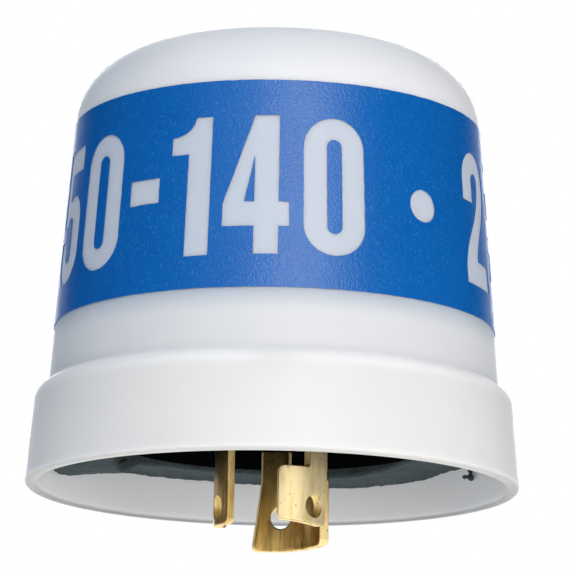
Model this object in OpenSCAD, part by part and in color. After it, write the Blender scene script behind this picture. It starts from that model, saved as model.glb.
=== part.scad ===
// Locking photocell switch for a street light: a stepped milky cover over a plug-in base with three
// curved blades, and inside it a light cell whose heater bends a bimetal arm off its contact.
// The origin is on the axis, in the plane of the gasket's sealing face, with the blades below it.

/* [Cover] */
// Outside radius of the skirt at its rim
rim_r = 39; // [37.5:0.25:42]
// Draft of the skirt wall, degrees
skirt_draft = 4.8; // [2:0.2:7]
// Thickness of the skirt wall
skirt_wall = 2; // [1.6:0.1:2.4]
// Round on the two edges of the rim
rim_round = 0.7; // [0.3:0.1:0.75]
// Height of the sealing face above the rim
seat_depth = 6.75; // [5:0.25:8]
// Thickness of the shoulder above the base
shoulder_t = 2.7; // [2.2:0.1:3.5]
// Round on the outside of the shoulder
shoulder_round = 2.7; // [1.5:0.1:3]
// Width of the step from skirt to body
step_w = 1.95; // [1.6:0.05:2.6]
// Draft of the body, degrees
body_draft = 4.25; // [2:0.25:6]
// Height of the body above the step, to the middle of its crown
body_h = 54.7; // [50:0.1:62]
// Thickness of the body wall
body_wall = 1.8; // [1.4:0.1:2.2]
// Round between the body and its crown
dome_round = 11.2; // [8:0.1:15]
// Radius of the gentle crown
crown_r = 200; // [120:5:400]
// Radius of the dimple left by the moulding gate
gate_r = 2.5; // [1.5:0.25:4]

/* [Printed band] */
// Height of the band's lower edge above the step
band_rise = 9.4; // [5:0.2:12]
// Height of the band
band_h = 32.8; // [24:0.2:34]
// Thickness of the ink film, thick enough to show as a layer
band_t = 0.2; // [0.15:0.01:0.3]

/* [Base and gasket] */
// Thickness of the foam gasket
gasket_t = 3.2; // [2.4:0.1:4]
// Inside radius of the gasket
gasket_hole_r = 25.2; // [23:0.2:28]
// Thickness of the base's flange
flange_t = 3.2; // [2.6:0.1:4]
// Depth of the boss behind the sealing face
boss_recess = 0.6; // [0.3:0.1:1.2]
// Number of keys that stop the base turning in the cover
key_count = 3; // [2:1:6]
// Width of a key
key_w = 5; // [3:0.5:8]
// How far a key reaches into the flange
key_reach = 2; // [1.2:0.1:3]
// Height of the snap bead on the skirt's inner wall
bead_rise = 0.4; // [0.3:0.05:0.6]

/* [Blades] */
// Outside radius of the circle that the blades lie on
blade_r = 9.2; // [8.5:0.1:10]
// Thickness of the blades
blade_t = 1.5; // [1.2:0.05:1.6]
// Angle that a blade's stem spans
stem_span = 31; // [28:1:38]
// Angle that the toe of the line and load blades spans
toe_span = 65; // [56:1:74]
// Angle that the toe of the neutral blade spans
neutral_span = 90; // [80:1:98]
// Depth of the toes' upper edge below the sealing face
toe_drop = 4; // [3.4:0.1:5]
// Depth of the tips of the line and load blades
tip_drop = 12.9; // [11.5:0.1:14]
// Depth of the tip of the neutral blade
neutral_tip_drop = 15.4; // [14.2:0.1:17]
// How far a blade's lower edge rises towards the end of its toe
tip_rise = 0.45; // [0.2:0.05:0.8]
// Flare of the neutral blade's trailing edge at its tip
neutral_flare = 1.4; // [0.4:0.1:1.8]
// Diameter of the hole in each blade
blade_hole_d = 3.5; // [2.8:0.1:4]
// Depth of the hole's middle below the sealing face
blade_hole_drop = 10; // [9:0.1:10.5]
// Angle from a blade's trailing edge back to its hole
hole_lag = 22; // [20:1:26]
// Round on the corners of the toes
toe_round = 0.9; // [0.4:0.1:1.2]
// Angle of the neutral blade's trailing edge from +X
neutral_trail = 101; // [95:1:110]
// Radius that the feet reach to on top of the base
foot_reach = 18; // [17.8:0.1:19]
// Width of a foot
foot_w = 5.8; // [5.4:0.1:6.4]
// Radius of the rivet's place on a foot
rivet_place_r = 13; // [12.6:0.1:13.4]
// Diameter of the blade rivets
blade_rivet_d = 3.2; // [2.6:0.1:3.4]

/* [Bimetal switch] */
// Width of the bimetal arms
arm_w = 8; // [6:0.5:9]
// Thickness of the bimetal arms
arm_t = 0.8; // [0.6:0.05:1]
// Length of the bimetal arms
arm_l = 34.5; // [32:0.5:35]
// Thickness of the brass brackets
bracket_t = 1.2; // [1:0.05:1.5]
// Height of the bracket legs that the arms are riveted to
leg_h = 10; // [9:0.5:11]
// Height that the load bracket's screw leg adds above that
screw_leg_h = 12; // [10:0.5:14]
// How far the screw leg stands off the arm
screw_leg_gap = 2; // [1.6:0.1:2.6]
// Diameter of the contact buttons
contact_d = 4.5; // [3.5:0.25:5.5]
// Thickness of a contact button
contact_t = 1.6; // [1.3:0.1:2.2]
// Distance from a contact's middle to the free end of its arm
contact_inset = 4; // [3.4:0.2:5]
// Diameter of the rivets that hold the arms
arm_rivet_d = 2; // [1.6:0.1:2.2]
// Diameter of the calibration screw
screw_d = 3; // [2.5:0.1:3.5]

/* [Heater, cell and arrester] */
// Diameter of the heater resistor's body
heater_d = 8; // [6:0.25:8.5]
// Length of the heater resistor's body
heater_l = 17.5; // [15:0.5:18]
// Gap between the heater and its arm
heater_gap = 0.5; // [0.3:0.1:1]
// Diameter of the light cell
cell_d = 12.7; // [11:0.1:13.5]
// Thickness of the light cell
cell_t = 2.5; // [2:0.1:3]
// Distance between the cell's leads
cell_pitch = 8.4; // [7.4:0.2:9]
// Depth of the cell's middle below the inside of the crown
cell_drop = 14.7; // [14:0.1:16]
// Clearance of the cell's cup from the body's wall
cup_clear = 0.4; // [0.3:0.1:1.5]
// Wall of the cell's cup
cup_wall = 1.5; // [1.2:0.1:2]
// Diameter of the arrester disc
arrester_d = 14; // [11:0.5:16]
// Thickness of the arrester disc
arrester_t = 4.6; // [3.6:0.2:6]
// Distance between the arrester's leads
arrester_pitch = 7.5; // [6:0.25:8]
// Diameter of the bare lead wires
lead_d = 0.8; // [0.6:0.05:1]

/* [Hidden] */
$fn = 96;
// A gap between pieces that slip together, and between those that are riveted, soldered or printed
slip_gap = 0.15;
close_gap = 0.05;
// How far a cut runs past the face that it goes through
past = 1;

// Heights, from the sealing face up
rim_z = -seat_depth;
base_top = gasket_t + flange_t;
step_z = base_top + shoulder_t;
crown_z = step_z + body_h;
band_z = step_z + band_rise;
band_top_z = band_z + band_h;

// Radii of the skirt and the body at a height
skirt_slope = tan(skirt_draft);
body_slope = tan(body_draft);
function skirt_r(z) = rim_r - skirt_slope * (z - rim_z);
function skirt_inside_r(z) = skirt_r(z) - skirt_wall;
body_r = skirt_r(step_z) - step_w;
function body_side_r(z) = body_r - body_slope * (z - step_z);
function body_inside_r(z) = body_side_r(z) - body_wall / cos(body_draft);

// The dome's round touches the body's side and the crown, so its middle lies on both offsets
function dome_place_r(z) = body_side_r(z) - dome_round / cos(body_draft);
function dome_gap(z) = crown_z - crown_r + sqrt(pow(crown_r - dome_round, 2) - pow(dome_place_r(z), 2)) - z;
dome_first_z = crown_z - dome_round;
dome_second_z = dome_first_z + dome_gap(dome_first_z);
dome_z = dome_second_z + dome_gap(dome_second_z);
dome_r = dome_place_r(dome_z);
crown_middle_z = crown_z - crown_r;
crown_lean = asin(dome_r / (crown_r - dome_round));
cavity_top = crown_z - body_wall;

// The base, which is trapped between the shoulder's ledge and the snap bead
flange_r = skirt_inside_r(base_top) - slip_gap;
boss_r = gasket_hole_r - slip_gap;
gasket_r = skirt_inside_r(gasket_t) - slip_gap;
bead_z = gasket_t + flange_t / 2;
bead_r = 0.8;
bead_place_r = skirt_inside_r(bead_z) + bead_r - bead_rise;
key_inside_r = flange_r - key_reach;
key_z = bead_z - flange_t / 4;
key_turn = 30;

// Blades: neutral, then line and load a third of a turn apart
blade_inside_r = blade_r - blade_t;
third = 120;
line_trail = neutral_trail + third;
load_trail = neutral_trail + 2 * third;
round_dip = toe_round / 12;
foot_top = base_top + blade_t;
foot_overlap = 1;
foot_inside_r = blade_inside_r - foot_overlap;
pad_inset = 1.2;
pad_r = foot_reach - pad_inset;
rivet_rim = 1;
rivet_head_r = blade_rivet_d / 2 + rivet_rim;
rivet_head_t = 0.8;
rivet_sink = 2.2;
guide_t = 1.4;
guide_h = 1.2;
guide_inset = 1.5;
guide_start = blade_r + guide_inset;
function stem_angle(trail) = trail - stem_span / 2;
function on_foot(trail, r) = [r * cos(stem_angle(trail)), r * sin(stem_angle(trail)), 0];

// Switch: two upright arms that face each other across the closed contacts
bracket_z = foot_top;
bracket_top = bracket_z + bracket_t;
arm_place_x = contact_t;
arm_back_x = arm_place_x + arm_t;
arm_y = -7;
arm_gap = 0.5;
arm_z = bracket_top + arm_gap;
arm_top = arm_z + arm_l;
leg_top = bracket_top + leg_h;
contact_z = arm_top - contact_inset;
line_rivet = on_foot(line_trail, rivet_place_r);
load_rivet = on_foot(load_trail, rivet_place_r);
bracket_spare = 0.2;
bracket_end = rivet_head_r + bracket_spare;
arm_rivet_z = bracket_top + leg_h / 2;
arm_rivet_pitch = arm_w / 2;
arm_rivet_head_r = arm_rivet_d * 0.85;
arm_rivet_head_t = 0.5;
through_l = 2 * body_r;
screw_z = leg_top + screw_leg_h * 0.6;
screw_head_t = 2;
screw_spare = 3;
screw_slot_w = 0.8;
shank_r = 1.2;
stake_r = 1.8;
stake_t = 0.4;

// Heater beside the first arm, and the cell above and behind it in line with the heater's lead
heater_x = -(arm_back_x + heater_gap + heater_d / 2);
heater_rise = 1.8;
heater_z = leg_top + heater_rise;
heater_top = heater_z + heater_l;
lead_r = lead_d / 2;
lead_hold = 2;
lead_bend = 2;
lead_start = 1;
cell_x = heater_x + cell_pitch / 2;
cell_z = cavity_top - cell_drop;
cup_r = cell_d / 2 + slip_gap + cup_wall;
cup_lip = 2;
cup_front_y = sqrt(pow(body_inside_r(cell_z) - cup_clear, 2) - pow(abs(cell_x) + cup_r, 2));
cell_back_y = cup_front_y - cup_lip - cell_t;
post_w = 8;
post_y = cell_back_y - cup_wall;
post_t = 4;
spigot_h = 2;
spigot_inset = 1;
return_lead_y = on_foot(neutral_trail, pad_r)[1];
splice_y = 8;
splice_l = 8;
splice_wall = 0.4;

// Arrester between the line foot and the neutral foot
arrester_line_pad = on_foot(line_trail, pad_r);
pad_pitch = 2.4;
arrester_neutral_pad = [cell_x + cell_pitch / 2 - pad_pitch, return_lead_y, 0];
arrester_run = arrester_neutral_pad - arrester_line_pad;
arrester_turn = atan2(arrester_run[1], arrester_run[0]);
arrester_middle = (arrester_neutral_pad + arrester_line_pad) / 2;
arrester_rise = 7.5;
arrester_z = foot_top + arrester_rise + arrester_d / 2;
arrester_foot_z = arrester_z - sqrt(pow(arrester_d / 2, 2) - pow(arrester_pitch / 2, 2));
arrester_reach = (norm(arrester_run) - arrester_pitch) / 2;

// The cover's outline from the axis out, its sides and round moved in by a wall
module body_outline(wall) {
    side_r = dome_r + (dome_round - wall) * cos(body_draft);
    side_z = dome_z + (dome_round - wall) * sin(body_draft);
    top_r = dome_r + (dome_round - wall) * sin(crown_lean);
    foot_r = side_r + body_slope * (side_z - base_top);
    polygon([[0, base_top], [foot_r, base_top], [side_r, side_z], [dome_r, dome_z], [0, dome_z]]);
    intersection() {
        translate([dome_r, dome_z]) circle(r = dome_round - wall);
        translate([dome_r - past, dome_z - past]) square(dome_round + 2 * past);
    }
    intersection() {
        translate([0, crown_middle_z]) circle(r = crown_r - wall, $fn = 360);
        translate([0, dome_z]) square([top_r, dome_round + past]);
    }
}

// The skirt's outside, with its round shoulder
module skirt_outline() {
    shoulder_z = step_z - shoulder_round;
    shoulder_place_r = skirt_r(shoulder_z) - shoulder_round / cos(skirt_draft);
    touch_z = shoulder_z + shoulder_round * sin(skirt_draft);
    polygon([[0, rim_z], [rim_r, rim_z], [skirt_r(touch_z), touch_z], [shoulder_place_r, shoulder_z],
        [shoulder_place_r, step_z], [0, step_z]]);
    translate([shoulder_place_r, shoulder_z]) circle(r = shoulder_round);
}

// The skirt's hollow, up to the ledge that the base seats on
module skirt_hollow() {
    polygon([[0, rim_z - past], [skirt_inside_r(rim_z - past), rim_z - past],
        [skirt_inside_r(base_top), base_top], [0, base_top]]);
}

// What rounds one edge of the rim, side being 1 for the outer edge and -1 for the inner
module rim_edge_cut(r, side) {
    translate([r, rim_z]) difference() {
        translate([-rim_round, -past]) square([2 * rim_round, rim_round + past]);
        translate([-side * rim_round, rim_round]) circle(r = rim_round);
    }
}

// A sector of a ring, from one angle to another
module ring_sector(inside_r, outside_r, from, to, low, high) {
    rotate([0, 0, from]) rotate_extrude(angle = to - from)
        translate([inside_r, low]) square([outside_r - inside_r, high - low]);
}

// A wire of straight legs, each given by its length, the bend after it and the turn of that bend
module wire(legs, i = 0) {
    leg = legs[i];
    cylinder(r = lead_r, h = leg[0]);
    if (i + 1 < len(legs)) translate([0, 0, leg[0]]) rotate([0, 0, leg[2]]) {
        translate([lead_bend, 0, 0]) rotate([90, 0, 180]) rotate_extrude(angle = leg[1])
            translate([lead_bend, 0]) circle(r = lead_r);
        translate([lead_bend * (1 - cos(leg[1])), 0, lead_bend * sin(leg[1])])
            rotate([0, leg[1], 0]) wire(legs, i + 1);
    }
}

// A rivet along +Z with a head at each end of its grip
module rivet(d, head_r, head_t, grip) {
    cylinder(d = d, h = grip);
    translate([0, 0, -head_t]) cylinder(r = head_r, h = head_t);
    translate([0, 0, grip]) cylinder(r1 = head_r, r2 = d / 2, h = head_t);
}

// Sets its children about each key's middle line
module at_keys() {
    for (i = [0 : key_count - 1]) rotate([0, 0, key_turn + i * 360 / key_count]) children();
}

// Sets its children on each blade's middle line
module at_feet() {
    for (trail = [neutral_trail, line_trail, load_trail]) rotate([0, 0, stem_angle(trail)]) children();
}

// Moulded in one piece: skirt, shoulder, body and dome, with a snap bead and keys for the base
module cover() {
    color("whitesmoke") difference() {
        union() {
            rotate_extrude() {
                difference() {
                    union() {
                        skirt_outline();
                        body_outline(0);
                    }
                    skirt_hollow();
                    body_outline(body_wall);
                    rim_edge_cut(rim_r, 1);
                    rim_edge_cut(skirt_inside_r(rim_z), -1);
                }
                translate([bead_place_r, bead_z]) circle(r = bead_r);
            }
            at_keys() translate([key_inside_r + slip_gap, -key_w / 2, key_z])
                cube([key_reach + skirt_wall / 2, key_w, base_top - key_z + shoulder_t / 2]);
        }
        translate([0, 0, crown_z - body_wall / 3]) cylinder(r = gate_r, h = body_wall);
    }
}

// A film of ink that follows the body's draft
module printed_band() {
    low_r = body_side_r(band_z) + close_gap;
    high_r = body_side_r(band_top_z) + close_gap;
    color("royalblue") rotate_extrude() polygon([[low_r, band_z], [low_r + band_t, band_z],
        [high_r + band_t, band_top_z], [high_r, band_top_z]]);
}

// A cut for one blade's stem, right through the base
module stem_slot() {
    spare = asin(slip_gap / blade_inside_r);
    half = stem_span / 2 + spare;
    ring_sector(blade_inside_r - slip_gap, blade_r + slip_gap, -half, half,
        boss_recess - past, base_top + past);
}

// Flange and boss in one moulding, with a groove for the snap bead and ribs beside the feet
module base_plate() {
    color("black") difference() {
        union() {
            rotate_extrude() difference() {
                union() {
                    translate([0, gasket_t]) square([flange_r, flange_t]);
                    translate([0, boss_recess]) square([boss_r, gasket_t]);
                }
                translate([bead_place_r, bead_z]) circle(r = bead_r + slip_gap);
            }
            at_feet() for (side = [-1, 1]) translate([guide_start, 0, base_top - past])
                translate([0, side * (foot_w / 2 + slip_gap + guide_t / 2) - guide_t / 2, 0])
                cube([foot_reach - guide_start, guide_t, guide_h + past]);
        }
        at_keys() translate([key_inside_r, -key_w / 2 - slip_gap, key_z - slip_gap])
            cube([key_reach + past, key_w + 2 * slip_gap, flange_t]);
        at_feet() {
            stem_slot();
            translate([rivet_place_r, 0, boss_recess - past]) {
                cylinder(d = blade_rivet_d + 2 * close_gap, h = base_top + 2 * past);
                cylinder(r = rivet_head_r + slip_gap, h = past + rivet_sink);
            }
        }
        translate([cell_x - post_w / 2 + spigot_inset - slip_gap, post_y + spigot_inset - slip_gap,
            base_top - spigot_h - slip_gap])
            cube([post_w - 2 * spigot_inset + 2 * slip_gap, post_t - 2 * spigot_inset + 2 * slip_gap,
                spigot_h + past]);
    }
}

// A flat ring of foam round the boss, out to the skirt's wall
module gasket() {
    color("dimgray") difference() {
        cylinder(r = gasket_r, h = gasket_t);
        translate([0, 0, -past]) cylinder(r = gasket_hole_r, h = gasket_t + 2 * past);
    }
}

// What shapes a blade's trailing edge, in the plane of that edge: Y runs on past it and Z is up.
// A round dips a little past the blade's edge, so that the two cross and don't just touch.
module trailing_cut(drop, flare) {
    round_y = flare - toe_round;
    round_z = toe_round - round_dip - drop;
    lean = atan(flare / (drop - toe_drop));
    inside = toe_round - round_dip / 2;
    inner_y = -2 * toe_round;
    difference() {
        translate([-1.5 * toe_round, -drop - past])
            square([1.5 * toe_round + flare + past, drop + foot_top + 2 * past]);
        polygon([[inner_y, foot_top + 2 * past], [0, foot_top + 2 * past], [0, -toe_drop],
            [round_y + inside * cos(lean), round_z + inside * sin(lean)], [round_y, round_z],
            [round_y, -drop - 2 * past], [inner_y, -drop - 2 * past]]);
        translate([round_y, round_z]) circle(r = toe_round);
    }
}

// What rounds off the end of a toe, in the plane of that end: Y runs into the toe and Z is up
module toe_end_cut(drop) {
    low_z = toe_round - round_dip - drop;
    high_z = -toe_drop - toe_round + round_dip;
    difference() {
        translate([-past, -drop - past]) square([past + 1.5 * toe_round, drop - toe_drop + 2 * past]);
        translate([0, low_z]) square([2 * toe_round, high_z - low_z]);
        translate([toe_round, -drop - 2 * past]) square([toe_round, drop - toe_drop + 4 * past]);
        for (z = [low_z, high_z]) translate([toe_round, z]) circle(r = toe_round);
    }
}

// What lifts a blade's lower edge towards the end of its toe, in the plane of the toe's middle
module tip_cut(span, drop) {
    half = blade_r * sin(span / 2);
    slope = tip_rise / (1.5 * half);
    polygon([[-half - past, tip_rise + past * slope - drop], [half, -half / 2 * slope - drop],
        [half, -drop - past], [-half - past, -drop - past]]);
}

// Runs a flat cut through a blade's wall at an angle
module through_wall(angle) {
    rotate([0, 0, angle]) translate([blade_inside_r - past, 0, 0]) rotate([90, 0, 90])
        linear_extrude(blade_t + 2 * past) children();
}

// A blade rolled to the circle: a stem through the base, a toe that runs clockwise seen from above,
// and a foot folded out over the base
module blade(trail, span, drop, flare) {
    spare = 3;
    flare_angle = asin(flare / blade_inside_r);
    color("goldenrod") difference() {
        union() {
            difference() {
                ring_sector(blade_inside_r, blade_r, trail - span - spare, trail + flare_angle + spare,
                    -drop, base_top + blade_t / 2);
                ring_sector(blade_inside_r - past, blade_r + past, trail - span - 2 * spare,
                    trail - stem_span, -toe_drop, foot_top + past);
                through_wall(trail) trailing_cut(drop, flare);
                through_wall(trail - span) toe_end_cut(drop - tip_rise + round_dip);
                rotate([0, 0, trail - span / 2]) translate([blade_r / 2, 0, 0]) rotate([90, 0, 90])
                    linear_extrude(blade_r) tip_cut(span, drop);
            }
            rotate([0, 0, stem_angle(trail)]) translate([foot_inside_r, -foot_w / 2, base_top])
                cube([foot_reach - foot_inside_r, foot_w, blade_t]);
        }
        rotate([0, 0, trail - hole_lag]) translate([blade_inside_r - past, 0, -blade_hole_drop])
            rotate([0, 90, 0]) cylinder(d = blade_hole_d, h = blade_t + 2 * past);
        rotate([0, 0, stem_angle(trail)]) translate([rivet_place_r, 0, base_top - past])
            cylinder(d = blade_rivet_d + 2 * close_gap, h = blade_t + 2 * past);
    }
}

module neutral_blade() {
    blade(neutral_trail, neutral_span, neutral_tip_drop, neutral_flare);
}

module line_blade() {
    blade(line_trail, toe_span, tip_drop, 0);
}

module load_blade() {
    blade(load_trail, toe_span, tip_drop, 0);
}

// One through each foot, its lower head sunk in the boss
module blade_rivets() {
    low = boss_recess + rivet_sink;
    color("goldenrod") {
        translate([0, 0, low] + on_foot(neutral_trail, rivet_place_r))
            rivet(blade_rivet_d, rivet_head_r, rivet_head_t, foot_top - low);
        for (place = [line_rivet, load_rivet]) translate([0, 0, low] + place)
            rivet(blade_rivet_d, rivet_head_r, rivet_head_t, bracket_top - low);
    }
}

// An angle of brass from a foot to an arm: profile in X and Z, as wide as the arm
module bracket(rivet_place, profile) {
    color("gold") difference() {
        translate([0, arm_y + arm_w / 2, 0]) rotate([90, 0, 0]) linear_extrude(arm_w) polygon(profile);
        translate([rivet_place[0], rivet_place[1], bracket_z - past])
            cylinder(d = blade_rivet_d + 2 * close_gap, h = bracket_t + 2 * past);
        arm_rivet_holes();
    }
}

// The two rows of rivet holes through the brackets and the arms
module arm_rivet_holes() {
    for (side = [-1, 1]) translate([0, arm_y + side * arm_rivet_pitch / 2, arm_rivet_z])
        rotate([0, 90, 0]) cylinder(d = arm_rivet_d + 2 * close_gap, h = through_l, center = true);
}

module line_bracket() {
    outer = arm_back_x + bracket_t;
    bracket(line_rivet, [[line_rivet[0] - bracket_end, bracket_z], [-arm_back_x, bracket_z],
        [-arm_back_x, leg_top], [-outer, leg_top], [-outer, bracket_top],
        [line_rivet[0] - bracket_end, bracket_top]]);
}

// As the other, with a leg that stands off the arm and takes the screw
module load_bracket() {
    outer = arm_back_x + bracket_t;
    stand = screw_leg_gap;
    screw_top = leg_top + screw_leg_h;
    difference() {
        bracket(load_rivet, [[load_rivet[0] + bracket_end, bracket_z], [arm_back_x, bracket_z],
            [arm_back_x, leg_top], [arm_back_x + stand, leg_top + stand], [arm_back_x + stand, screw_top],
            [outer + stand, screw_top], [outer + stand, leg_top + stand - bracket_t / 2],
            [outer, leg_top - bracket_t / 2], [outer, bracket_top],
            [load_rivet[0] + bracket_end, bracket_top]]);
        translate([0, arm_y, screw_z]) rotate([0, 90, 0])
            cylinder(d = screw_d + 2 * close_gap, h = through_l);
    }
}

// An upright arm with a round free end, its inner face at x
module arm(x) {
    difference() {
        translate([x, arm_y, arm_z]) rotate([90, 0, 90]) linear_extrude(arm_t) {
            translate([-arm_w / 2, 0]) square([arm_w, arm_l - arm_w / 2]);
            translate([0, arm_l - arm_w / 2]) circle(d = arm_w);
        }
        arm_rivet_holes();
        translate([x - past, arm_y, contact_z]) rotate([0, 90, 0])
            cylinder(r = shank_r + close_gap, h = arm_t + 2 * past);
    }
}

module heated_bimetal() {
    color("silver") arm(-arm_back_x);
}

module compensating_bimetal() {
    color("silver") arm(arm_place_x);
}

// A button on the inner face of an arm, with a shank staked at the back
module contact() {
    rotate([0, 90, 0]) {
        cylinder(d = contact_d, h = contact_t);
        translate([0, 0, contact_t]) cylinder(r = shank_r, h = arm_t);
        translate([0, 0, contact_t + arm_t]) cylinder(r1 = stake_r, r2 = shank_r, h = stake_t);
    }
}

module moving_contact() {
    color("lightgray") translate([0, arm_y, contact_z]) mirror([1, 0, 0]) contact();
}

module fixed_contact() {
    color("lightgray") translate([0, arm_y, contact_z]) contact();
}

// Two through each arm and its bracket
module arm_rivets() {
    grip = arm_t + bracket_t;
    color("gold") for (side = [-1, 1], hand = [0, 1]) mirror([hand, 0, 0])
        translate([arm_place_x, arm_y + side * arm_rivet_pitch / 2, arm_rivet_z])
        rotate([0, 90, 0]) rivet(arm_rivet_d, arm_rivet_head_r, arm_rivet_head_t, grip);
}

// A slotted screw whose tip sets the second arm
module calibration_screw() {
    length = screw_leg_gap + bracket_t + screw_spare;
    head_r = screw_d * 0.95;
    color("gold") translate([arm_back_x, arm_y, screw_z]) rotate([0, 90, 0]) difference() {
        union() {
            cylinder(d = screw_d, h = length);
            translate([0, 0, length]) cylinder(r = head_r, h = screw_head_t);
        }
        translate([-head_r - past, -screw_slot_w / 2, length + screw_head_t / 2])
            cube([2 * (head_r + past), screw_slot_w, screw_head_t]);
    }
}

// A moulded carbon body with eased ends and a lead in each
module heater_resistor() {
    ease = 0.6;
    r = heater_d / 2;
    hole_r = lead_r + close_gap;
    color("saddlebrown") translate([heater_x, arm_y, heater_z]) rotate_extrude() difference() {
        polygon([[0, 0], [r - ease, 0], [r, ease], [r, heater_l - ease], [r - ease, heater_l],
            [0, heater_l]]);
        square([hole_r, lead_hold]);
        translate([0, heater_l - lead_hold]) square([hole_r, lead_hold]);
    }
}

// One lead down to the bracket and one up and over to the splice
module heater_leads() {
    rise = cell_z - lead_bend - (heater_top - lead_hold);
    run = splice_y - (arm_y + lead_bend);
    color("silver") {
        translate([heater_x, arm_y, bracket_top])
            cylinder(r = lead_r, h = heater_z + lead_hold - bracket_top);
        translate([heater_x, arm_y, heater_top - lead_hold]) wire([[rise, 90, 90], [run, 0, 0]]);
    }
}

// A post that stands in the base and carries a cup for the cell
module cell_holder() {
    depth = cup_front_y - post_y;
    color("white") translate([cell_x, 0, 0]) difference() {
        union() {
            translate([-post_w / 2, post_y, base_top]) cube([post_w, post_t, cell_z - base_top]);
            translate([-post_w / 2 + spigot_inset, post_y + spigot_inset, base_top - spigot_h])
                cube([post_w - 2 * spigot_inset, post_t - 2 * spigot_inset, spigot_h + past]);
            translate([0, cup_front_y, cell_z]) rotate([90, 0, 0]) cylinder(r = cup_r, h = depth);
        }
        translate([0, cup_front_y + past, cell_z]) rotate([90, 0, 0])
            cylinder(r = cup_r - cup_wall, h = cell_t + cup_lip + past);
        for (side = [-1, 1]) translate([side * cell_pitch / 2, cell_back_y + past, cell_z])
            rotate([90, 0, 0]) cylinder(r = lead_r + slip_gap, h = post_t + 2 * past);
    }
}

// A ceramic disc with a winding groove on its face
module photocell() {
    bar_pitch = cell_d / 8;
    bar_w = 0.5;
    groove = 0.3;
    front = cell_back_y + cell_t;
    color("burlywood") translate([cell_x, 0, cell_z]) difference() {
        translate([0, front, 0]) rotate([90, 0, 0]) cylinder(d = cell_d, h = cell_t);
        for (i = [-2 : 2]) {
            half = cell_d * 0.36 - abs(i) * bar_w / 2;
            translate([-half, front - groove, i * bar_pitch - bar_w / 2]) cube([2 * half, past, bar_w]);
            if (i < 2) translate([(i % 2 == 0 ? 1 : -1) * cell_d * 0.3 - bar_w / 2, front - groove,
                i * bar_pitch - bar_w / 2]) cube([bar_w, past, bar_pitch + bar_w]);
        }
        for (side = [-1, 1]) translate([side * cell_pitch / 2, cell_back_y + lead_hold / 2, 0])
            rotate([90, 0, 0]) cylinder(r = lead_r + close_gap, h = lead_hold);
    }
}

// One lead to the splice and one down to the neutral foot
module photocell_leads() {
    start_y = cell_back_y + lead_hold / 2;
    drop = cell_z - lead_bend - foot_top;
    color("silver") {
        translate([cell_x - cell_pitch / 2, start_y, cell_z]) rotate([90, 0, 0])
            cylinder(r = lead_r, h = start_y - splice_y);
        translate([cell_x + cell_pitch / 2, start_y, cell_z]) rotate([90, 0, 0])
            wire([[start_y - return_lead_y - lead_bend, 90, -90], [drop, 0, 0]]);
    }
}

// A crimped sleeve over the two lead ends
module lead_splice() {
    color("silver") translate([heater_x, splice_y + splice_l / 2, cell_z]) rotate([90, 0, 0]) difference() {
        cylinder(r = lead_r + close_gap + splice_wall, h = splice_l);
        translate([0, 0, -past]) cylinder(r = lead_r + close_gap, h = splice_l + 2 * past);
    }
}

// Sets its children in the arrester's plane, with X along it
module at_arrester() {
    translate([arrester_middle[0], arrester_middle[1], 0]) rotate([0, 0, arrester_turn]) children();
}

// A dipped disc with a rounded edge
module surge_arrester() {
    edge = 1.2;
    r = arrester_d / 2;
    color("steelblue") at_arrester() difference() {
        translate([0, 0, arrester_z]) rotate([90, 0, 0]) rotate_extrude() {
            translate([0, -arrester_t / 2]) square([r - edge, arrester_t]);
            translate([0, edge - arrester_t / 2]) square([r, arrester_t - 2 * edge]);
            for (side = [-1, 1]) translate([r - edge, side * (arrester_t / 2 - edge)]) circle(r = edge);
        }
        for (side = [-1, 1]) translate([side * arrester_pitch / 2, 0, arrester_foot_z - past])
            cylinder(r = lead_r + close_gap, h = lead_hold + past);
    }
}

// Both leads formed out and down to their feet
module arrester_leads() {
    first = lead_start + lead_hold;
    last = arrester_foot_z + lead_hold - first - 2 * lead_bend - foot_top;
    color("silver") at_arrester() for (side = [0, 180]) rotate([0, 0, side])
        translate([arrester_pitch / 2, 0, arrester_foot_z + lead_hold]) rotate([180, 0, 0])
        wire([[first, 90, 0], [arrester_reach - 2 * lead_bend, 90, 180], [last, 0, 0]]);
}

cover();
printed_band();
base_plate();
gasket();
neutral_blade();
line_blade();
load_blade();
blade_rivets();
line_bracket();
load_bracket();
heated_bimetal();
compensating_bimetal();
moving_contact();
fixed_contact();
arm_rivets();
calibration_screw();
heater_resistor();
heater_leads();
cell_holder();
photocell();
photocell_leads();
lead_splice();
surge_arrester();
arrester_leads();
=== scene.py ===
import math

import bmesh
import bpy
from mathutils import Matrix, Quaternion, Vector, noise
from mathutils.geometry import delaunay_2d_cdt


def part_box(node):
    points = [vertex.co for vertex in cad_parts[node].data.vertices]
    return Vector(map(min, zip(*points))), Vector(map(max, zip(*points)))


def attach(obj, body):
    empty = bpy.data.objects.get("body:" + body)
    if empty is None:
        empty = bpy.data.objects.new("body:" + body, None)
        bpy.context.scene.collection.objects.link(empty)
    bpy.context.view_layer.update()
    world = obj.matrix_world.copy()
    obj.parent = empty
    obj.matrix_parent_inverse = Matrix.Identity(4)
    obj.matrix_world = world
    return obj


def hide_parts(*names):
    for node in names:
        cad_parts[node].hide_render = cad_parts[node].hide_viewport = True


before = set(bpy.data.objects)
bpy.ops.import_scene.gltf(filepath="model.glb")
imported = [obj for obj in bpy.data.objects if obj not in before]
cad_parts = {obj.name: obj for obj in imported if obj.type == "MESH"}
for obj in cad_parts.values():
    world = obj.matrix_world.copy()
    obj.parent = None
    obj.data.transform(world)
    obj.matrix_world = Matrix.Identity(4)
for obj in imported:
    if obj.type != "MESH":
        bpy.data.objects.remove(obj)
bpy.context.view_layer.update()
scene = bpy.context.scene
scene.view_settings.view_transform = "Standard"
mm = 0.001
cutGap = 0.0001 * mm  # a cut this close to a point goes through it
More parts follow.
